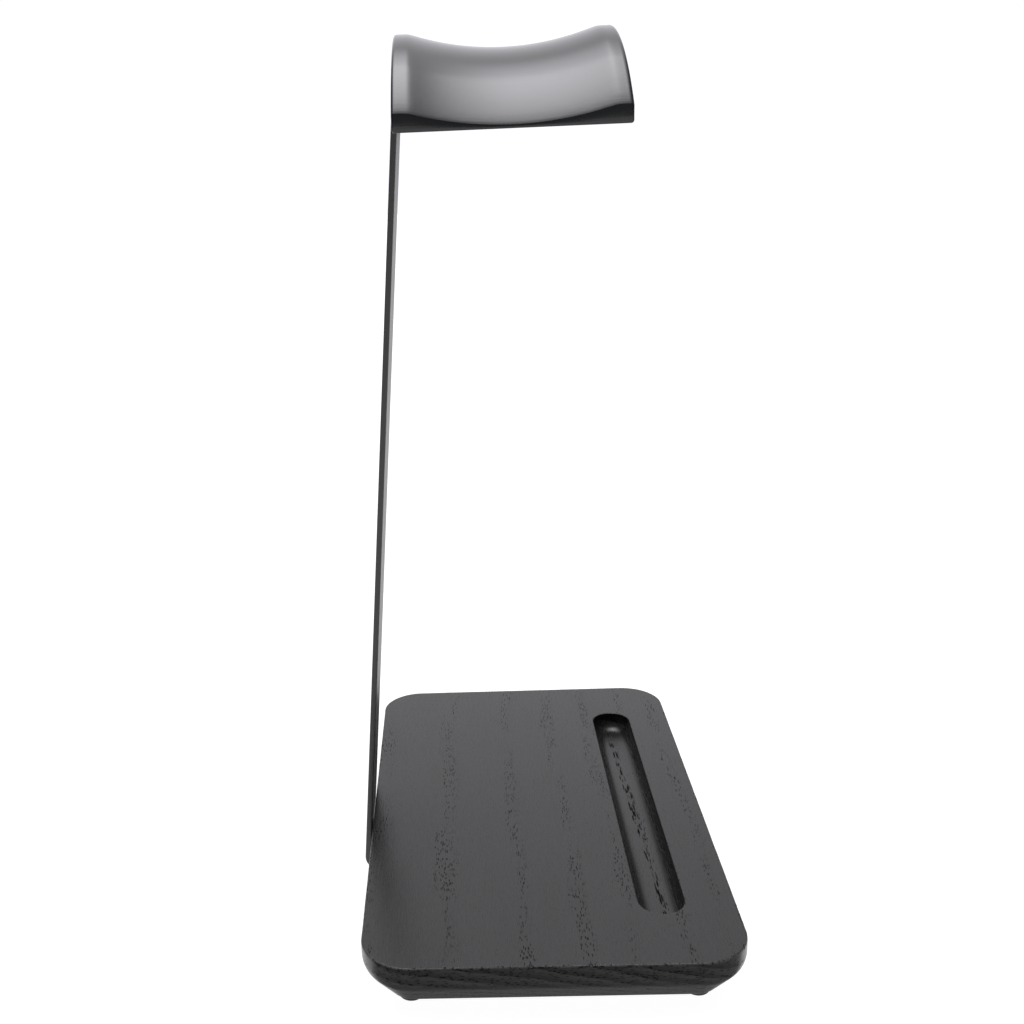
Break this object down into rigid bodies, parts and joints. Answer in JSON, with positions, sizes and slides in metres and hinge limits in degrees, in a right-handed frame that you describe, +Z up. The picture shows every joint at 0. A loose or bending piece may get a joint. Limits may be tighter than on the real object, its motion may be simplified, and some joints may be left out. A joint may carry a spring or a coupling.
{
  "type": "headphone stand",
  "caption": "Desk stand for headphones: a bevelled wooden base with a pen groove, a bent flat steel post leaning forward, and an arched, dished wooden headrest on top.",
  "frame": {"origin": "on the table, at the centre of the bounding box's bottom face", "axes": "+Z up; X along the base's long side; -Y to the front, where the pen groove is; the post stands at the back, +Y"},
  "size_m": [0.2004, 0.1268, 0.2983],
  "materials": {
    "base_wood": "matte black stain on open-pored ash, with the pores and growth rings showing",
    "headrest_wood": "satin black lacquer, pores filled",
    "post_steel": "fine black powder coat",
    "insert_brass": "plain turned",
    "screw_steel": "black oxide",
    "foot_rubber": "soft matte"
  },
  "bodies": {
    "root": {"base_board": "base_wood", "post_strip": "post_steel", "headrest": "headrest_wood", "base_insert_1": "insert_brass", "base_insert_2": "insert_brass", "base_insert_3": "insert_brass", "base_screw_1": "screw_steel", "base_screw_2": "screw_steel", "base_screw_3": "screw_steel", "headrest_insert_1": "insert_brass", "headrest_insert_2": "insert_brass", "headrest_screw_1": "screw_steel", "headrest_screw_2": "screw_steel", "foot_1": "foot_rubber", "foot_2": "foot_rubber", "foot_3": "foot_rubber", "foot_4": "foot_rubber"}
  },
  "joints": []
}
